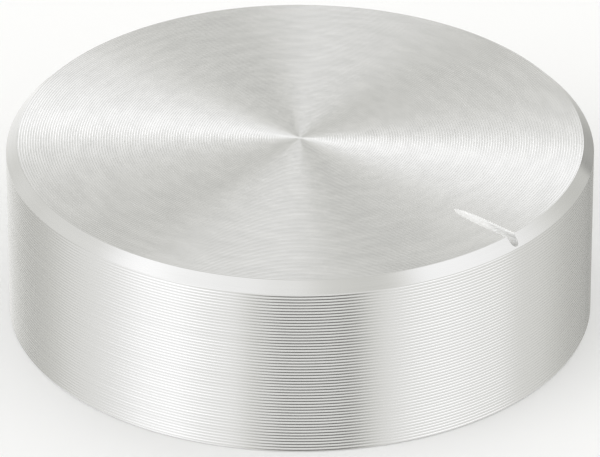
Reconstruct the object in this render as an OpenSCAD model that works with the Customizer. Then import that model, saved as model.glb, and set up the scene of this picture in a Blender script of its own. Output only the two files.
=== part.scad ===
// Turned aluminium control knob with a milled pointer notch and a set screw.
// Origin at the centre of the base, +Z up the shaft axis, pointer towards +X. Millimetres.

/* [Body] */
// Outside diameter of the turned body
body_d = 45; // [36:0.5:60]
// Height from the base to the top face
body_h = 14.4; // [13:0.1:24]
// Polished chamfer round the top rim, the same on both faces
rim_chamfer = 0.8; // [0.4:0.05:1.5]
// Break on the bottom edge
base_break = 0.1; // [0.05:0.05:0.5]

/* [Turned grooves] */
// Tool feed up the side, one groove for each turn
side_feed = 0.25; // [0.2:0.01:0.6]
// Depth of a groove in the side
side_groove = 0.03; // [0.01:0.005:0.06]
// Tool feed across the top face, one groove for each turn
face_feed = 0.2; // [0.15:0.01:0.6]
// Depth of a groove in the top face
face_groove = 0.02; // [0.01:0.005:0.05]

/* [Pointer notch] */
// Length of the notch, from its tip to the outside of the rim
notch_l = 6.7; // [3:0.1:12]
// Width of the round-nosed cut
notch_w = 0.9; // [0.6:0.05:2]
// Depth of the cut where it leaves the rim
notch_depth = 0.7; // [0.3:0.05:1.2]

/* [Shaft bore] */
// Diameter of the shaft that the knob sits on
shaft_d = 6; // [4:0.05:8]
// Clearance between shaft and bore, on the radius
shaft_clearance = 0.03; // [0.01:0.005:0.05]
// Metal left between the drill point and the top face
web = 1.6; // [1:0.1:3]
// Included angle of the drill point
drill_angle = 118; // [90:1:140]
// Chamfer at the mouth of the bore
mouth_chamfer = 0.4; // [0.2:0.1:1]

/* [Nut recess] */
// Diameter of the recess that clears the panel nut
recess_d = 18; // [14:0.5:24]
// Depth of the recess
recess_depth = 4.2; // [2:0.1:5]
// Chamfer round the edge of the recess
recess_chamfer = 0.3; // [0.1:0.1:1]

/* [Set screw] */
// Thread diameter
screw_d = 4; // [3:0.5:5]
// Length from the cup point to the socket end
screw_l = 8; // [6:0.5:10]
// Chamfer at the socket end
screw_chamfer = 0.35; // [0.2:0.05:0.5]
// Diameter of the rim of the cup point
cup_d = 2; // [1.4:0.1:2.4]
// Included angle of the hollow in the cup point
cup_angle = 118; // [90:1:140]
// Width across the flats of the hexagon socket
key_af = 2; // [1.3:0.1:2.5]
// Depth of the hexagon socket
key_depth = 2.5; // [1.5:0.1:3.5]
// Gap left between the cup point and the bore wall when the screw is backed off
tip_gap = 0.3; // [0.2:0.1:1]

/* [Screw hole] */
// Length of the tapped hole, outwards from the bore axis
tapped_reach = 13; // [10:0.5:16]
// Clearance between the screw and the tapped hole, on the radius
thread_clearance = 0.05; // [0.02:0.01:0.1]
// Clearance between the screw and the key hole beyond it, on the radius
key_hole_clearance = 0.25; // [0.15:0.05:0.5]
// Countersink where the key hole leaves the side
key_hole_chamfer = 0.3; // [0.1:0.05:0.6]

/* [Hidden] */
$fn = 96;
body_r = body_d / 2;
bore_r = shaft_d / 2 + shaft_clearance;
recess_r = recess_d / 2;
screw_r = screw_d / 2;
cup_r = cup_d / 2;
tapped_r = screw_r + thread_clearance;
key_hole_r = screw_r + key_hole_clearance;
// The drill point sits under the web, and the bore's straight wall ends at its shoulder
bore_tip_z = body_h - web;
bore_end_z = bore_tip_z - bore_r / tan(drill_angle / 2);
// The set screw bears on the middle of the bore
screw_z = (recess_depth + bore_end_z) / 2;
screw_tip = bore_r + tip_gap;
// Grooves are spread so that a whole number of turns fills each surface
side_z0 = base_break;
side_z1 = body_h - rim_chamfer;
side_turns = round((side_z1 - side_z0) / side_feed);
side_step = (side_z1 - side_z0) / side_turns;
face_r = body_r - rim_chamfer;
face_turns = round(face_r / face_feed);
face_step = face_r / face_turns;
// Radius of the disc cutter that gives the notch its length and depth
cutter_r = (notch_l * notch_l + notch_depth * notch_depth) / (2 * notch_depth);
// How far a cutter runs on past the surface that it cuts
past = 1;

// Up the side: crests on the outside diameter, with a groove after each one
function side_points() = [
    for (turn = [0 : side_turns - 1])
        for (half = [0, 1])
            [body_r - half * side_groove, side_z0 + (turn + half / 2) * side_step]
];

// In across the top face, as far as the plain spot that the tool leaves in the middle
function face_points() = [
    for (turn = [0 : face_turns - 2])
        for (half = [0, 1])
            [face_r - (turn + half / 2) * face_step, body_h - half * face_groove]
];

// Half section of the turned body, from the drill point down, out, up and in again
function body_section() = concat(
    [
        [0, bore_tip_z],
        [bore_r, bore_end_z],
        [bore_r, recess_depth + mouth_chamfer],
        [bore_r + mouth_chamfer, recess_depth],
        [recess_r, recess_depth],
        [recess_r, recess_chamfer],
        [recess_r + recess_chamfer, 0],
        [body_r - base_break, 0]
    ],
    side_points(),
    [[body_r, side_z1]],
    face_points(),
    [[face_step, body_h], [0, body_h]]
);

// Stands a shape that points up +Z on the screw's axis, pointing out towards -X
module on_screw_axis() {
    translate([0, 0, screw_z])
        rotate([0, -90, 0])
            children();
}

// Round-nosed disc cutter sunk into the rim, so the cut shallows along an arc to its tip
module notch_cut() {
    translate([body_r, 0, body_h - notch_depth + cutter_r])
        rotate([90, 0, 0])
            rotate_extrude() {
                translate([cutter_r - notch_w / 2, 0])
                    circle(d = notch_w);
                translate([0, -notch_w / 2])
                    square([cutter_r - notch_w / 2, notch_w]);
            }
}

// Tapped hole from the bore outwards, opened up beyond the screw for the key
module screw_hole_cut() {
    on_screw_axis() {
        cylinder(r = tapped_r, h = tapped_reach);
        translate([0, 0, tapped_reach - past / 2])
            cylinder(r = key_hole_r, h = body_r - tapped_reach + past);
        translate([0, 0, body_r - key_hole_chamfer])
            cylinder(r1 = key_hole_r, r2 = key_hole_r + key_hole_chamfer + past, h = key_hole_chamfer + past);
    }
}

module knob_body() {
    color([0.84, 0.84, 0.83])
        difference() {
            rotate_extrude()
                polygon(body_section());
            notch_cut();
            screw_hole_cut();
        }
}

// Half section of the screw: cup hollow, point, thread diameter, chamfered socket end
function screw_section() = [
    [0, cup_r / tan(cup_angle / 2)],
    [cup_r, 0],
    [screw_r, screw_r - cup_r],
    [screw_r, screw_l - screw_chamfer],
    [screw_r - screw_chamfer, screw_l],
    [0, screw_l]
];

module key_socket_cut() {
    socket_r = key_af / 2;
    drill_h = socket_r / tan(drill_angle / 2);
    translate([0, 0, screw_l - key_depth])
        cylinder(d = key_af / cos(30), h = key_depth + past, $fn = 6);
    translate([0, 0, screw_l - key_depth - drill_h])
        cylinder(r1 = 0, r2 = socket_r, h = drill_h);
}

module set_screw() {
    color([0.2, 0.2, 0.21])
        on_screw_axis()
            translate([0, 0, screw_tip])
                difference() {
                    rotate_extrude()
                        polygon(screw_section());
                    key_socket_cut();
                }
}

knob_body();
set_screw();
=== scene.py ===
import math
import random

import bmesh
import bpy
from mathutils import Matrix, Vector


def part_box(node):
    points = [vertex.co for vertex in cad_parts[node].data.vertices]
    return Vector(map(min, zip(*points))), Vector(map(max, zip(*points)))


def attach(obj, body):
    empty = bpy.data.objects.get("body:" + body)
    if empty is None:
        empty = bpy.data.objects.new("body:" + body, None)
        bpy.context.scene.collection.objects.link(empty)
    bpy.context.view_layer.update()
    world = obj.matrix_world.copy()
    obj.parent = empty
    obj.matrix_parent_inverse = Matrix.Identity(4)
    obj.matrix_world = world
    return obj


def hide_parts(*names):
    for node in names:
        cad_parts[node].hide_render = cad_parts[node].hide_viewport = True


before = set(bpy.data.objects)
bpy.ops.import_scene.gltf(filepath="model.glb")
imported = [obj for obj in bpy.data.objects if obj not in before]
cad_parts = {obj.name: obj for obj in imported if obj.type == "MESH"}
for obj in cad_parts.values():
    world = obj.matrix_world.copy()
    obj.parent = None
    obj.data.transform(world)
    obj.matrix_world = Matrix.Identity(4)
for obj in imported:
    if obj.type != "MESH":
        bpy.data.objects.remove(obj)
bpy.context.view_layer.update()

mm = 0.001
scene = bpy.context.scene
scene.view_settings.view_transform = "Standard"

_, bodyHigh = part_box("knob_body")
bodyRadius = bodyHigh.y
bodyHeight = bodyHigh.z
print("frame loaded, body radius", round(bodyRadius / mm, 3), "height", round(bodyHeight / mm, 3))


# camera at the photograph's angle: long lens, aimed a little below the middle of the body
photo = {
    "azimuth": 43.7,  # degrees round from -Y, so the notch points right and towards the lens
    "elevation": 29.76,
    "distance": 542.7 * mm,
    "lens": 422.8,
    "sensor": 36,
    "farEnd": 10.0,
    "aimDrop": 0.7 * mm,
}


def aroundBody(azimuth, elevation):
    turn = math.radians(azimuth)
    rise = math.radians(elevation)
    return Vector((math.sin(turn) * math.cos(rise), -math.cos(turn) * math.cos(rise), math.sin(rise)))


def makeCamera():
    data = bpy.data.cameras.new("photoCamera")
    data.lens = photo["lens"]
    data.sensor_width = photo["sensor"]
    data.clip_end = photo["farEnd"]
    camera = bpy.data.objects.new("photoCamera", data)
    scene.collection.objects.link(camera)
    back = aroundBody(photo["azimuth"], photo["elevation"])
    turn = (-back).to_track_quat("-Z", "Y")
    up = turn @ Vector((0, 1, 0))
    middle = Vector((0, 0, bodyHeight / 2))
    camera.location = middle + back * photo["distance"] - up * photo["aimDrop"]
    camera.rotation_euler = turn.to_euler()
    scene.camera = camera


makeCamera()
print("camera placed")


# small helpers for node trees
def addNode(tree, kind, settings=None, **inputs):
    node = tree.nodes.new(kind)
    for name, value in (settings or {}).items():
        setattr(node, name, value)
    for name, value in inputs.items():
        plug(tree, node.inputs[name.replace("_", " ")], value)
    return node


def plug(tree, socket, value):
    if isinstance(value, bpy.types.NodeSocket):
        tree.links.new(value, socket)
    else:
        socket.default_value = value


def doMath(tree, operation, *values):
    node = addNode(tree, "ShaderNodeMath", {"operation": operation})
    for socket, value in zip(node.inputs, values):
        plug(tree, socket, value)
    return node.outputs[0]


def ramp(tree, value, fromLow, fromHigh, toLow=0.0, toHigh=1.0, smooth=True):
    node = addNode(
        tree,
        "ShaderNodeMapRange",
        {"interpolation_type": "SMOOTHSTEP" if smooth else "LINEAR"},
        Value=value,
        From_Min=fromLow,
        From_Max=fromHigh,
        To_Min=toLow,
        To_Max=toHigh,
    )
    return node.outputs["Result"]


mixSockets = {"first": 6, "second": 7, "result": 2}  # where a Mix node keeps its colours


def mixColour(tree, factor, first, second):
    node = addNode(tree, "ShaderNodeMix", {"data_type": "RGBA"}, Factor=factor)
    plug(tree, node.inputs[mixSockets["first"]], (*first, 1))
    plug(tree, node.inputs[mixSockets["second"]], (*second, 1))
    return node.outputs[mixSockets["result"]]


def newGroup(name, inputs, outputs):
    tree = bpy.data.node_groups.new(name, "ShaderNodeTree")
    for socketName, kind, default in inputs:
        socket = tree.interface.new_socket(name=socketName, in_out="INPUT", socket_type=kind)
        if default is not None:
            socket.default_value = default
    for socketName, kind in outputs:
        tree.interface.new_socket(name=socketName, in_out="OUTPUT", socket_type=kind)
    return tree, tree.nodes.new("NodeGroupInput").outputs, tree.nodes.new("NodeGroupOutput").inputs


def useGroup(tree, group, **inputs):
    return addNode(tree, "ShaderNodeGroup", {"node_tree": group}, **inputs)


# studio: a pale tent with brighter and darker panels, given as seen from the lens
studio = {
    "tentLevel": 1.04,
    "leastLevel": 0.02,
    "dimLevel": 0.7,
    "brightLevel": 1.3,
    "dimColour": (1.0, 0.996, 0.948),
    "brightColour": (1.0, 1.0, 1.0),
    "floorColour": (0.93, 0.93, 0.93),
    "floorRoughness": 0.9,
    "floorSize": 4.0,
    "floorDrop": 0.02 * mm,
}
# angles in degrees: azimuth 0 is to the right of the lens, 90 behind the knob and 180 to the left
# edge is how softly a panel ends, tilt how far it climbs for each degree across, level what it adds
panels = {
    # beside the knob, for the light bands on its side and the lines in them
    "leftPanel": {"azimuth": -145, "halfWidth": 23, "low": -32, "high": 41, "edge": 17, "level": 1.81},
    "leftGlow": {"azimuth": -127, "halfWidth": 18, "low": -16, "high": 81, "edge": 10, "level": 0.10},
    "leftBench": {"azimuth": -145, "halfWidth": 25, "low": -33, "high": 17, "edge": 16, "level": -1.59},
    "leftLow": {"azimuth": -177, "halfWidth": 37, "low": -88, "high": -44, "edge": 8, "level": 0.35},
    "rightPanel": {"azimuth": -10, "halfWidth": 35, "low": -52, "high": 58, "edge": 17, "level": 0.36},
    "rightShade": {"azimuth": 10, "halfWidth": 44, "low": -65, "high": 37, "edge": 40, "level": -0.49},
    "rightBench": {"azimuth": -25, "halfWidth": 25, "low": -37, "high": -23, "edge": 7, "level": 0.69},
    # in front, for the dark band on its side
    "darkFront": {"azimuth": -86, "halfWidth": 20, "low": -39, "high": 16, "edge": 11, "level": -0.84},
    "frontBench": {"azimuth": -89, "halfWidth": 16, "low": -36, "high": -22, "edge": 5, "level": 0.92},
    "frontTop": {"azimuth": -60, "halfWidth": 24, "low": 50, "high": 55, "edge": 12, "level": -0.83},
    # behind and overhead, for the fans across its top face
    "dimRight": {"azimuth": 73, "halfWidth": 24, "low": -80, "high": 27, "edge": 2, "level": -0.35},
    "dimLeft": {"azimuth": 147, "halfWidth": 18, "low": -78, "high": 19, "edge": 18, "level": -0.41},
    "backBand": {
        "azimuth": 100, "halfWidth": 39, "low": 12, "high": 50, "edge": 11, "tilt": 0.15, "level": 0.91,
    },
    "backFlag": {
        "azimuth": 122, "halfWidth": 51, "low": 26, "high": 86, "edge": 18, "tilt": 0.38, "level": -1.11,
    },
    "horizon": {
        "azimuth": 103, "halfWidth": 28, "low": 22, "high": 24, "edge": 2, "tilt": -0.35, "level": 0.99,
    },
    "backStrip": {
        "azimuth": 128, "halfWidth": 45, "low": 58, "high": 84, "edge": 9, "tilt": 0.26, "level": 1.30,
    },
    "overhead": {"azimuth": 0, "halfWidth": 200, "low": 84, "high": 100, "edge": 10, "level": 0.59},
}


def makePanelGroup():
    tree, given, result = newGroup(
        "softPanel",
        [
            ("Direction", "NodeSocketVector", None),
            ("Azimuth", "NodeSocketFloat", 0.0),
            ("Half Width", "NodeSocketFloat", 20.0),
            ("Low", "NodeSocketFloat", 0.0),
            ("High", "NodeSocketFloat", 40.0),
            ("Edge", "NodeSocketFloat", 5.0),
            ("Tilt", "NodeSocketFloat", 0.0),
        ],
        [("Mask", "NodeSocketFloat")],
    )
    turned = addNode(
        tree,
        "ShaderNodeVectorRotate",
        {"rotation_type": "Z_AXIS", "invert": True},
        Vector=given["Direction"],
        Angle=doMath(tree, "RADIANS", given["Azimuth"]),
    )
    parts = addNode(tree, "ShaderNodeSeparateXYZ", Vector=turned.outputs[0]).outputs
    across = doMath(tree, "DEGREES", doMath(tree, "ARCTAN2", parts["Y"], parts["X"]))
    level = doMath(tree, "DEGREES", doMath(tree, "ARCSINE", parts["Z"]))
    height = doMath(tree, "SUBTRACT", level, doMath(tree, "MULTIPLY", given["Tilt"], across))

    def softStep(value, place, rising):
        before = doMath(tree, "SUBTRACT", place, given["Edge"])
        after = doMath(tree, "ADD", place, given["Edge"])
        return ramp(tree, value, before, after) if rising else ramp(tree, value, after, before)

    beside = softStep(doMath(tree, "ABSOLUTE", across), given["Half Width"], False)
    above = softStep(height, given["Low"], True)
    below = softStep(height, given["High"], False)
    between = doMath(tree, "MULTIPLY", above, below)
    tree.links.new(doMath(tree, "MULTIPLY", beside, between), result["Mask"])
    return tree


def makeWorld():
    world = bpy.data.worlds.new("studioTent")
    world.use_nodes = True
    tree = world.node_tree
    tree.nodes.clear()
    softPanel = makePanelGroup()
    direction = addNode(tree, "ShaderNodeTexCoord").outputs["Generated"]
    fromLens = addNode(
        tree,
        "ShaderNodeVectorRotate",
        {"rotation_type": "Z_AXIS", "invert": True},
        Vector=direction,
        Angle=math.radians(photo["azimuth"]),
    ).outputs[0]
    level = studio["tentLevel"]
    for panel in panels.values():
        mask = useGroup(
            tree,
            softPanel,
            Direction=fromLens,
            Azimuth=panel["azimuth"],
            Half_Width=panel["halfWidth"],
            Low=panel["low"],
            High=panel["high"],
            Edge=panel["edge"],
            Tilt=panel.get("tilt", 0),
        ).outputs["Mask"]
        level = doMath(tree, "MULTIPLY_ADD", mask, panel["level"], level)
    level = doMath(tree, "MAXIMUM", level, studio["leastLevel"])
    bright = ramp(tree, level, studio["dimLevel"], studio["brightLevel"])
    tint = mixColour(tree, bright, studio["dimColour"], studio["brightColour"])
    background = addNode(tree, "ShaderNodeBackground", Color=tint, Strength=level)
    output = tree.nodes.new("ShaderNodeOutputWorld")
    tree.links.new(background.outputs[0], output.inputs["Surface"])
    scene.world = world


def newObject(name, bm):
    mesh = bpy.data.meshes.new(name)
    bm.to_mesh(mesh)
    bm.free()
    piece = bpy.data.objects.new(name, mesh)
    scene.collection.objects.link(piece)
    return piece


def makeFloor():
    bm = bmesh.new()
    bmesh.ops.create_grid(bm, x_segments=1, y_segments=1, size=studio["floorSize"] / 2)
    bmesh.ops.translate(bm, verts=bm.verts, vec=(0, 0, -studio["floorDrop"]))
    floor = newObject("floor", bm)
    material = bpy.data.materials.new("paleFloor")
    material.use_nodes = True
    tree = material.node_tree
    shader = tree.nodes["Principled BSDF"]
    shader.inputs["Base Color"].default_value = (*studio["floorColour"], 1)
    shader.inputs["Roughness"].default_value = studio["floorRoughness"]
    shader.inputs["Specular IOR Level"].default_value = 0.0
    # clear from below, so that the underside can be looked at
    clear = tree.nodes.new("ShaderNodeBsdfTransparent")
    side = tree.nodes.new("ShaderNodeNewGeometry")
    mix = tree.nodes.new("ShaderNodeMixShader")
    tree.links.new(side.outputs["Backfacing"], mix.inputs[0])
    tree.links.new(shader.outputs[0], mix.inputs[1])
    tree.links.new(clear.outputs[0], mix.inputs[2])
    tree.links.new(mix.outputs[0], tree.nodes["Material Output"].inputs["Surface"])
    floor.data.materials.append(material)
    floor.visible_glossy = False  # the metal sees the tent all round it


makeWorld()
makeFloor()
print("studio built")


# effects that several finishes share
streakNoise = {"Scale": 1.0, "Detail": 2.0, "Roughness": 0.6}
noiseSpan = (0.3, 0.7)  # most values of a noise texture lie between these


def makeTurnedPlace():
    tree, _, result = newGroup(
        "turnedPlace",
        [],
        [("Radius", "NodeSocketFloat"), ("Height", "NodeSocketFloat"), ("Around", "NodeSocketVector")],
    )
    place = addNode(tree, "ShaderNodeTexCoord").outputs["Object"]
    scaled = addNode(tree, "ShaderNodeVectorMath", {"operation": "SCALE"}, Vector=place, Scale=1 / mm)
    parts = addNode(tree, "ShaderNodeSeparateXYZ", Vector=scaled.outputs[0]).outputs
    flat = addNode(tree, "ShaderNodeCombineXYZ", X=parts["X"], Y=parts["Y"]).outputs[0]
    around = addNode(tree, "ShaderNodeVectorMath", {"operation": "NORMALIZE"}, Vector=flat).outputs[0]
    length = addNode(tree, "ShaderNodeVectorMath", {"operation": "LENGTH"}, Vector=flat).outputs["Value"]
    tree.links.new(length, result["Radius"])
    tree.links.new(parts["Z"], result["Height"])
    tree.links.new(around, result["Around"])
    return tree


def makeToolStreaks():
    tree, given, result = newGroup(
        "toolStreaks",
        [
            ("Across", "NodeSocketFloat", 0.0),
            ("Around", "NodeSocketVector", None),
            ("Per mm", "NodeSocketFloat", 8.0),
            ("Breaks", "NodeSocketFloat", 3.0),
        ],
        [("Streak", "NodeSocketFloat")],
    )
    parts = addNode(tree, "ShaderNodeSeparateXYZ", Vector=given["Around"]).outputs
    path = addNode(
        tree,
        "ShaderNodeCombineXYZ",
        X=doMath(tree, "MULTIPLY", parts["X"], given["Breaks"]),
        Y=doMath(tree, "MULTIPLY", parts["Y"], given["Breaks"]),
        Z=doMath(tree, "MULTIPLY", given["Across"], given["Per mm"]),
    ).outputs[0]
    noise = addNode(tree, "ShaderNodeTexNoise", Vector=path, **streakNoise)
    tree.links.new(noise.outputs["Fac"], result["Streak"])
    return tree


turnedPlace = makeTurnedPlace()
toolStreaks = makeToolStreaks()

aluminium = {
    "dark": (0.690, 0.690, 0.688),
    "light": (0.740, 0.740, 0.738),
    "fresh": (0.880, 0.880, 0.877),
    # darker tone for the painted shade in the notch's deep end, and for the specks along its wall
    "shadeAndSpeckTone": (0.640, 0.640, 0.634),
}


def newMaterial(name):
    material = bpy.data.materials.new(name)
    material.use_nodes = True
    tree = material.node_tree
    shader = tree.nodes["Principled BSDF"]
    shader.inputs["Metallic"].default_value = 1.0
    return material, tree, shader


# streaks along the tool's path: how close they lie, and how far they change the shine, shade and level
turnedFinishes = {
    "boredInside": {
        "across": "Radius", "perMm": 6, "roughness": 0.28, "spread": 0.06, "shade": 1.0, "bump": 0.5,
    },
    "turnedSide": {
        "across": "Height", "perMm": 14, "roughness": 0.16, "spread": 0.03, "shade": 0.6, "bump": 0.1,
    },
    "polishedRim": {
        "across": "Radius", "perMm": 9, "roughness": 0.13, "spread": 0.02, "shade": 0.4, "bump": 0.02,
    },
    "turnedFace": {
        "across": "Radius", "perMm": 16, "roughness": 0.15, "spread": 0.015, "shade": 0.2, "bump": 0.04,
        # where the tool pressed a little more or less
        "arcs": {"perMm": 1.1, "breaks": 6.0, "shade": 3.0},
    },
}
streakBreaks = 2.5
streakDepth = 0.01 * mm
shadeSpan = (0.25, 0.75)


def turnedFinish(name):
    finish = turnedFinishes[name]
    material, tree, shader = newMaterial(name)
    place = useGroup(tree, turnedPlace).outputs
    across = place[finish["across"]]
    around = place["Around"]

    def streaks(perMm, breaks):
        group = useGroup(tree, toolStreaks, Across=across, Around=around, Per_mm=perMm, Breaks=breaks)
        return group.outputs["Streak"]

    streak = streaks(finish["perMm"], streakBreaks)
    half = finish["shade"] / 2
    shade = ramp(tree, streak, *shadeSpan, 0.5 - half, 0.5 + half, smooth=False)
    arcs = finish.get("arcs")
    if arcs:
        arc = doMath(tree, "SUBTRACT", streaks(arcs["perMm"], arcs["breaks"]), 0.5)
        shade = doMath(tree, "MULTIPLY_ADD", arc, arcs["shade"], shade)
    colour = mixColour(tree, shade, aluminium["dark"], aluminium["light"])
    plug(tree, shader.inputs["Base Color"], colour)
    low = finish["roughness"] - finish["spread"]
    high = finish["roughness"] + finish["spread"]
    plug(tree, shader.inputs["Roughness"], ramp(tree, streak, *noiseSpan, low, high, smooth=False))
    bump = addNode(tree, "ShaderNodeBump", Strength=finish["bump"], Distance=streakDepth, Height=streak)
    plug(tree, shader.inputs["Normal"], bump.outputs["Normal"])
    return material


boredInside = turnedFinish("boredInside")
turnedSide = turnedFinish("turnedSide")
polishedRim = turnedFinish("polishedRim")
turnedFace = turnedFinish("turnedFace")


# the notch: slanting marks of the cutter, on metal that is paler because it is freshly cut
milled = {
    "slant": 45,  # degrees from the notch's length
    "closeness": 9 / mm,
    "markDepth": 0.02 * mm,
    "roughness": 0.75,
    "spread": 0.06,
    "bump": 1.0,
    "smoothFrom": 19.0 * mm,  # the deep end by the rim is cut smoother
    "smoothTo": 21.5 * mm,
    "smoothShare": 0.15,
    "paintedShadeFrom": 20.8 * mm,  # and its bottom is darkened, more by one wall: painted shade where the deep end of the cut lies in shade
    "paintedShadeTo": 22.0 * mm,
    "paintedShadeSlant": 2.0,
    "paintedShadeDepth": 0.42 * mm,
    "paintedShadeEdge": 0.14 * mm,
    "speckFrom": 18.6 * mm,  # specks lie along one wall towards the rim
    "speckTo": 20.0 * mm,
    "speckSide": 0.16 * mm,
    "speckEdge": 0.12 * mm,
    "speckCloseness": 7 / mm,
    "speckDetail": 1.0,
    "speckSpan": (0.4, 0.6),
}


def milledFinish(name):
    material, tree, shader = newMaterial(name)
    place = addNode(tree, "ShaderNodeTexCoord").outputs["Object"]
    turned = addNode(
        tree,
        "ShaderNodeVectorRotate",
        {"rotation_type": "Z_AXIS"},
        Vector=place,
        Angle=math.radians(milled["slant"]),
    )
    stretch = (milled["closeness"], 1 / mm, 1 / mm)
    slanting = addNode(tree, "ShaderNodeMapping", Vector=turned.outputs[0], Scale=stretch)
    noise = addNode(tree, "ShaderNodeTexNoise", Vector=slanting.outputs[0], **streakNoise)
    marks = noise.outputs["Fac"]
    parts = addNode(tree, "ShaderNodeSeparateXYZ", Vector=place).outputs
    along = parts["X"]
    depth = doMath(tree, "SUBTRACT", bodyHeight, parts["Z"])
    # painted shade: the notch's bottom darkens in colour towards its deep end by the rim, more by one
    # wall
    edge = milled["paintedShadeEdge"]
    deep = ramp(tree, depth, milled["paintedShadeDepth"] - edge, milled["paintedShadeDepth"] + edge)
    slanted = doMath(tree, "MULTIPLY_ADD", parts["Y"], -milled["paintedShadeSlant"], along)
    paintedShade = doMath(tree, "MULTIPLY", ramp(tree, slanted, milled["paintedShadeFrom"], milled["paintedShadeTo"]), deep)
    edge = milled["speckEdge"]
    wall = ramp(tree, parts["Y"], edge - milled["speckSide"], -edge - milled["speckSide"])
    wall = doMath(tree, "MULTIPLY", wall, ramp(tree, along, milled["speckFrom"], milled["speckTo"]))
    dots = addNode(
        tree,
        "ShaderNodeTexNoise",
        Vector=place,
        Scale=milled["speckCloseness"],
        Detail=milled["speckDetail"],
    )
    specks = doMath(tree, "MULTIPLY", wall, ramp(tree, dots.outputs["Fac"], *milled["speckSpan"]))
    # the darker tone carries both the painted shade and the specks
    paintedShadeAndSpecks = doMath(tree, "MAXIMUM", paintedShade, specks)
    colour = mixColour(tree, paintedShadeAndSpecks, aluminium["fresh"], aluminium["shadeAndSpeckTone"])
    plug(tree, shader.inputs["Base Color"], colour)
    low = milled["roughness"] - milled["spread"]
    high = milled["roughness"] + milled["spread"]
    plug(tree, shader.inputs["Roughness"], ramp(tree, marks, *noiseSpan, low, high, smooth=False))
    coarse = ramp(tree, along, milled["smoothFrom"], milled["smoothTo"], 1.0, milled["smoothShare"])
    height = doMath(tree, "MULTIPLY", marks, coarse)
    bump = addNode(
        tree, "ShaderNodeBump", Strength=milled["bump"], Distance=milled["markDepth"], Height=height
    )
    plug(tree, shader.inputs["Normal"], bump.outputs["Normal"])
    return material


blackSteel = {
    "dark": (0.028, 0.028, 0.030),
    "light": (0.050, 0.050, 0.053),
    "closeness": 2 / mm,
    "detail": 3.0,
    "smooth": 0.32,
    "rough": 0.48,
}


def blackFinish(name):
    material, tree, shader = newMaterial(name)
    place = addNode(tree, "ShaderNodeTexCoord").outputs["Object"]
    noise = addNode(
        tree,
        "ShaderNodeTexNoise",
        Vector=place,
        Scale=blackSteel["closeness"],
        Detail=blackSteel["detail"],
    )
    cloud = noise.outputs["Fac"]
    colour = mixColour(tree, cloud, blackSteel["dark"], blackSteel["light"])
    plug(tree, shader.inputs["Base Color"], colour)
    shine = ramp(tree, cloud, *noiseSpan, blackSteel["smooth"], blackSteel["rough"], smooth=False)
    plug(tree, shader.inputs["Roughness"], shine)
    return material


milledNotch = milledFinish("milledNotch")
blackOxide = blackFinish("blackOxide")
print("finishes made")


# knob body: one turned piece, grooved on its side and top face
knob = {
    "steps": 240,
    "rimChamfer": 0.8 * mm,
    "baseBreak": 0.1 * mm,
    "sideFeed": 0.25 * mm,
    "sideGroove": 0.03 * mm,
    "sideVary": 0.08,
    "sideSeed": 3,
    "faceFeed": 0.2 * mm,
    "faceGroove": 0.02 * mm,
    "faceVary": 0.02,
    "faceSeed": 5,
    "boreRadius": 3.03 * mm,
    "web": 1.6 * mm,
    "drillAngle": math.radians(118),
    "mouthChamfer": 0.4 * mm,
    "recessRadius": 9.0 * mm,
    "recessDepth": 4.2 * mm,
    "recessChamfer": 0.3 * mm,
}
notch = {
    "length": 6.5 * mm,
    "depth": 0.7 * mm,
    "nose": 0.38 * mm,
    "edgeRound": 0.15 * mm,
    "noseSteps": 20,
    "edgeSteps": 6,
    "sections": 60,
    "crowding": 1.5,  # sections lie closer together near the tip
    "past": 1.0 * mm,
}
near = 0.001 * mm  # leeway when surfaces are told apart
samePoint = 0.1 * near  # points closer than this are one point
sharpAngle = math.radians(25)

sideLow = knob["baseBreak"]
sideHigh = bodyHeight - knob["rimChamfer"]
sideTurns = round((sideHigh - sideLow) / knob["sideFeed"])
sideStep = (sideHigh - sideLow) / sideTurns
faceRadius = bodyRadius - knob["rimChamfer"]
faceTurns = round(faceRadius / knob["faceFeed"])
faceStep = faceRadius / faceTurns
boreTip = bodyHeight - knob["web"]
boreEnd = boreTip - knob["boreRadius"] / math.tan(knob["drillAngle"] / 2)


def grooveDepths(turns, depth, vary, seed):
    chance = random.Random(seed)
    return [depth * (1 + vary * chance.uniform(-1, 1)) for turn in range(turns)]


sideDepths = grooveDepths(sideTurns, knob["sideGroove"], knob["sideVary"], knob["sideSeed"])
faceDepths = grooveDepths(faceTurns, knob["faceGroove"], knob["faceVary"], knob["faceSeed"])


def bodySection():
    recess = knob["recessDepth"]
    mouth = knob["mouthChamfer"]
    lip = knob["recessChamfer"]
    points = [
        (0, boreTip),
        (knob["boreRadius"], boreEnd),
        (knob["boreRadius"], recess + mouth),
        (knob["boreRadius"] + mouth, recess),
        (knob["recessRadius"], recess),
        (knob["recessRadius"], lip),
        (knob["recessRadius"] + lip, 0),
        (bodyRadius - knob["baseBreak"], 0),
    ]
    for turn, depth in enumerate(sideDepths):
        points.append((bodyRadius, sideLow + turn * sideStep))
        points.append((bodyRadius - depth, sideLow + (turn + 0.5) * sideStep))
    points.append((bodyRadius, sideHigh))
    for turn, depth in enumerate(faceDepths[:-1]):
        points.append((faceRadius - turn * faceStep, bodyHeight))
        points.append((faceRadius - (turn + 0.5) * faceStep, bodyHeight - depth))
    points.append((faceStep, bodyHeight))
    points.append((0, bodyHeight))
    return points


def spinSection(points, steps):
    bm = bmesh.new()
    verts = [bm.verts.new((r, 0, z)) for r, z in points]
    edges = [bm.edges.new(pair) for pair in zip(verts, verts[1:])]
    bmesh.ops.spin(
        bm,
        geom=verts + edges,
        cent=(0, 0, 0),
        axis=(0, 0, 1),
        angle=math.tau,
        steps=steps,
        use_merge=True,
    )
    bmesh.ops.remove_doubles(bm, verts=bm.verts, dist=samePoint)
    bmesh.ops.recalc_face_normals(bm, faces=bm.faces)
    return bm


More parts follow.
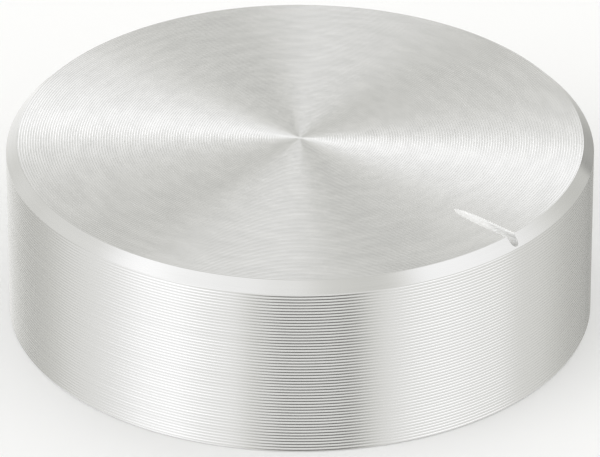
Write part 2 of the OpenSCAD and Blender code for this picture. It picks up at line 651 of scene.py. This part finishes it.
def notchSection(depth):
    # right half: down the softened edge, then round the cutter's nose to the bottom
    nose = notch["nose"]
    edge = notch["edgeRound"]
    rise = nose - depth + edge
    across = math.sqrt((nose + edge) ** 2 - max(rise, 0) ** 2)
    lean = math.asin(across / (nose + edge))
    half = [(across, notch["past"])]
    for step in range(notch["edgeSteps"] + 1):
        turn = lean * step / notch["edgeSteps"]
        half.append((across - edge * math.sin(turn), edge * math.cos(turn) - edge))
    for step in range(notch["noseSteps"] + 1):
        turn = lean * (1 - step / notch["noseSteps"])
        half.append((nose * math.sin(turn), nose - depth - nose * math.cos(turn)))
    return half + [(-y, z) for y, z in reversed(half[:-1])]


def makeNotchCutter():
    # the cutter is a disc sunk into the rim, so the cut shallows along an arc to its tip
    length = notch["length"]
    discRadius = (length**2 + notch["depth"] ** 2) / (2 * notch["depth"])
    bm = bmesh.new()
    rows = []
    for count in range(1, notch["sections"] + 1):
        along = (length + notch["past"]) * (count / notch["sections"]) ** notch["crowding"]
        left = max(length - along, 0)
        depth = notch["depth"] - discRadius + math.sqrt(discRadius**2 - left**2)
        place = bodyRadius - length + along
        row = [bm.verts.new((place, y, bodyHeight + z)) for y, z in notchSection(depth)]
        rows.append([bm.edges.new(pair) for pair in zip(row, row[1:] + row[:1])])
    for first, second in zip(rows, rows[1:]):
        bmesh.ops.bridge_loops(bm, edges=first + second)
    for row in (rows[0], rows[-1]):
        bmesh.ops.contextual_create(bm, geom=row)
    bmesh.ops.remove_doubles(bm, verts=bm.verts, dist=samePoint)
    bmesh.ops.recalc_face_normals(bm, faces=bm.faces)
    cutter = newObject("notchCutter", bm)
    cutter.data.materials.append(milledNotch)
    return cutter


def cutWith(piece, cutter, operation="DIFFERENCE"):
    cut = piece.modifiers.new("cut", "BOOLEAN")
    cut.operation = operation
    cut.solver = "EXACT"
    cut.material_mode = "TRANSFER"
    cut.object = cutter
    depsgraph = bpy.context.evaluated_depsgraph_get()
    result = bpy.data.meshes.new_from_object(piece.evaluated_get(depsgraph))
    piece.modifiers.clear()
    piece.data = result
    bpy.data.objects.remove(cutter)


# the set screw's hole runs out towards -X, tapped near the bore and wider beyond for the key
screwHole = {
    "tapRadius": 2.05 * mm,
    "tapMinor": 1.67 * mm,
    "reach": 12.5 * mm,
    "keyRadius": 2.25 * mm,
    "keyChamfer": 0.3 * mm,
    "past": 1.0 * mm,
    "steps": 72,
}
screw = {
    "radius": 2.0 * mm,
    "minor": 1.57 * mm,
    "pitch": 0.7 * mm,
    "flank": 0.354,  # this and the root are shares of the pitch
    "root": 0.0835,
    "length": 8.0 * mm,
    "chamfer": 0.35 * mm,
    "cupRadius": 1.0 * mm,
    "cupAngle": math.radians(118),
    "keyFlats": 2.0 * mm,
    "keySides": 6,
    "keyDepth": 2.5 * mm,
    "keyLead": 1.25 * mm,
    "tipGap": 0.3 * mm,
    "steps": 48,
}
screwHeight = (knob["recessDepth"] + boreEnd) / 2
screwTip = knob["boreRadius"] + screw["tipGap"]
onScrewAxis = Matrix.Translation((0, 0, screwHeight)) @ Matrix.Rotation(-math.pi / 2, 4, "Y")


def makeThread(major, minor, low, high):
    # one pitch of the thread form, swept up a helix and cut off flat at both ends
    pitch = screw["pitch"]
    root = screw["root"] * pitch
    crest = root + screw["flank"] * pitch
    form = [
        (minor, 0),
        (minor, root),
        (major, crest),
        (major, pitch - crest),
        (minor, pitch - root),
        (minor, pitch),
    ]
    first = math.floor(low / pitch) - 1
    turns = math.ceil(high / pitch) + 1 - first
    bm = bmesh.new()
    verts = [bm.verts.new((r, 0, z + first * pitch)) for r, z in form]
    edges = [bm.edges.new(pair) for pair in zip(verts, verts[1:])]
    bmesh.ops.spin(
        bm,
        geom=verts + edges,
        cent=(0, 0, 0),
        axis=(0, 0, 1),
        dvec=(0, 0, pitch / screw["steps"]),
        angle=turns * math.tau,
        steps=turns * screw["steps"],
    )
    bmesh.ops.remove_doubles(bm, verts=bm.verts, dist=near)
    for height, normal in ((low, (0, 0, -1)), (high, (0, 0, 1))):
        everything = bm.verts[:] + bm.edges[:] + bm.faces[:]
        cut = bmesh.ops.bisect_plane(
            bm, geom=everything, plane_co=(0, 0, height), plane_no=normal, clear_outer=True
        )
        rim = [item for item in cut["geom_cut"] if isinstance(item, bmesh.types.BMEdge)]
        bmesh.ops.edgenet_fill(bm, edges=rim)
    bmesh.ops.recalc_face_normals(bm, faces=bm.faces)
    return bm


def placedObject(name, bm, place, material):
    bmesh.ops.transform(bm, matrix=place, verts=bm.verts)
    piece = newObject(name, bm)
    piece.data.materials.append(material)
    return piece


def keyHoleSection():
    lead = (screwHole["keyRadius"] - screwHole["tapMinor"]) / math.tan(knob["drillAngle"] / 2)
    past = screwHole["past"]
    return [
        (0, screwHole["reach"] - lead),
        (screwHole["tapMinor"], screwHole["reach"] - lead),
        (screwHole["keyRadius"], screwHole["reach"]),
        (screwHole["keyRadius"], bodyRadius - screwHole["keyChamfer"]),
        (screwHole["keyRadius"] + screwHole["keyChamfer"] + past, bodyRadius + past),
        (0, bodyRadius + past),
    ]


def cutScrewHole(piece):
    keyHole = spinSection(keyHoleSection(), screwHole["steps"])
    cutWith(piece, placedObject("keyHoleCutter", keyHole, onScrewAxis, boredInside))
    thread = makeThread(screwHole["tapRadius"], screwHole["tapMinor"], 0, screwHole["reach"])
    cutWith(piece, placedObject("threadCutter", thread, onScrewAxis, boredInside))


def makeSetScrew():
    radius = screw["radius"]
    length = screw["length"]
    cup = screw["cupRadius"]
    outside = spinSection(
        [
            (0, cup / math.tan(screw["cupAngle"] / 2)),
            (cup, 0),
            (radius, radius - cup),
            (radius, length - screw["chamfer"]),
            (radius - screw["chamfer"], length),
            (0, length),
        ],
        2 * screw["steps"],
    )
    place = onScrewAxis @ Matrix.Translation((0, 0, screwTip))
    piece = placedObject("setScrew", outside, place, blackOxide)
    past = screwHole["past"]
    thread = makeThread(radius, screw["minor"], screwTip - past, screwTip + length + past)
    cutWith(piece, placedObject("threadForm", thread, onScrewAxis, blackOxide), "INTERSECT")
    flats = screw["keyFlats"] / 2
    corners = flats / math.cos(math.pi / screw["keySides"])
    deep = length - screw["keyDepth"]
    hexagon = [(0, deep), (corners, deep), (corners, length + past), (0, length + past)]
    socket = spinSection(hexagon, screw["keySides"])
    cutWith(piece, placedObject("socketCutter", socket, place, blackOxide))
    point = deep - flats / math.tan(knob["drillAngle"] / 2)
    drill = spinSection([(0, point), (flats, deep), (0, deep + flats)], screw["steps"])
    cutWith(piece, placedObject("drillCutter", drill, place, blackOxide))
    lead = screw["keyLead"]
    funnel = [(0, length - lead), (lead + past, length + past), (0, length + past)]
    mouth = spinSection(funnel, screw["steps"])
    cutWith(piece, placedObject("mouthCutter", mouth, place, blackOxide))
    piece.data.shade_smooth()
    piece.data.set_sharp_from_angle(angle=sharpAngle)
    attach(piece, "root")
    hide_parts("set_screw")
    return piece


bodyFinishes = [boredInside, turnedSide, polishedRim, turnedFace]


def finishOf(face):
    # a face within two groove depths of the outside belongs to a grooved surface
    centre = face.calc_center_median()
    radius = centre.xy.length
    if sideLow < centre.z < sideHigh and radius > bodyRadius - 2 * knob["sideGroove"]:
        return bodyFinishes.index(turnedSide)
    if centre.z > bodyHeight - 2 * knob["faceGroove"] and radius < faceRadius:
        return bodyFinishes.index(turnedFace)
    if centre.z > sideHigh - near and radius > faceRadius - near:
        return bodyFinishes.index(polishedRim)
    return bodyFinishes.index(boredInside)


def grooveNormal(mesh, polygon, corner):
    # each groove is a shallow arc, so its slope runs evenly from one crest to the next
    # and is four times its depth over its width at the crests
    name = mesh.materials[polygon.material_index].name
    point = mesh.vertices[corner].co
    outward = Vector((point.x, point.y, 0)).normalized()
    if name == turnedSide.name:
        turn = min(int((polygon.center.z - sideLow) / sideStep), sideTurns - 1)
        share = (point.z - sideLow) / sideStep - turn
        tilt = math.atan(4 * sideDepths[turn] / sideStep) * (1 - 2 * share)
        return outward * math.cos(tilt) + Vector((0, 0, math.sin(tilt)))
    if name == turnedFace.name:
        reach = faceRadius - polygon.center.xy.length
        turn = min(int(reach / faceStep), faceTurns - 1)
        if turn == faceTurns - 1:
            return Vector((0, 0, 1))
        share = (faceRadius - point.xy.length) / faceStep - turn
        tilt = math.atan(4 * faceDepths[turn] / faceStep) * (2 * share - 1)
        return outward * math.sin(tilt) + Vector((0, 0, math.cos(tilt)))
    return Vector((0, 0, 0))


def makeKnobBody():
    bm = spinSection(bodySection(), knob["steps"])
    for face in bm.faces:
        face.material_index = finishOf(face)
    piece = newObject("knobBody", bm)
    for material in bodyFinishes:
        piece.data.materials.append(material)
    cutWith(piece, makeNotchCutter())
    cutScrewHole(piece)
    mesh = piece.data
    mesh.shade_smooth()
    mesh.set_sharp_from_angle(angle=sharpAngle)
    normals = [(0, 0, 0)] * len(mesh.loops)
    for polygon in mesh.polygons:
        for corner in polygon.loop_indices:
            normals[corner] = grooveNormal(mesh, polygon, mesh.loops[corner].vertex_index)
    mesh.normals_split_custom_set(normals)
    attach(piece, "root")
    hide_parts("knob_body")
    return piece


knobBody = makeKnobBody()
print("knob body made,", len(knobBody.data.polygons), "faces")
setScrew = makeSetScrew()
print("set screw made,", len(setScrew.data.polygons), "faces")
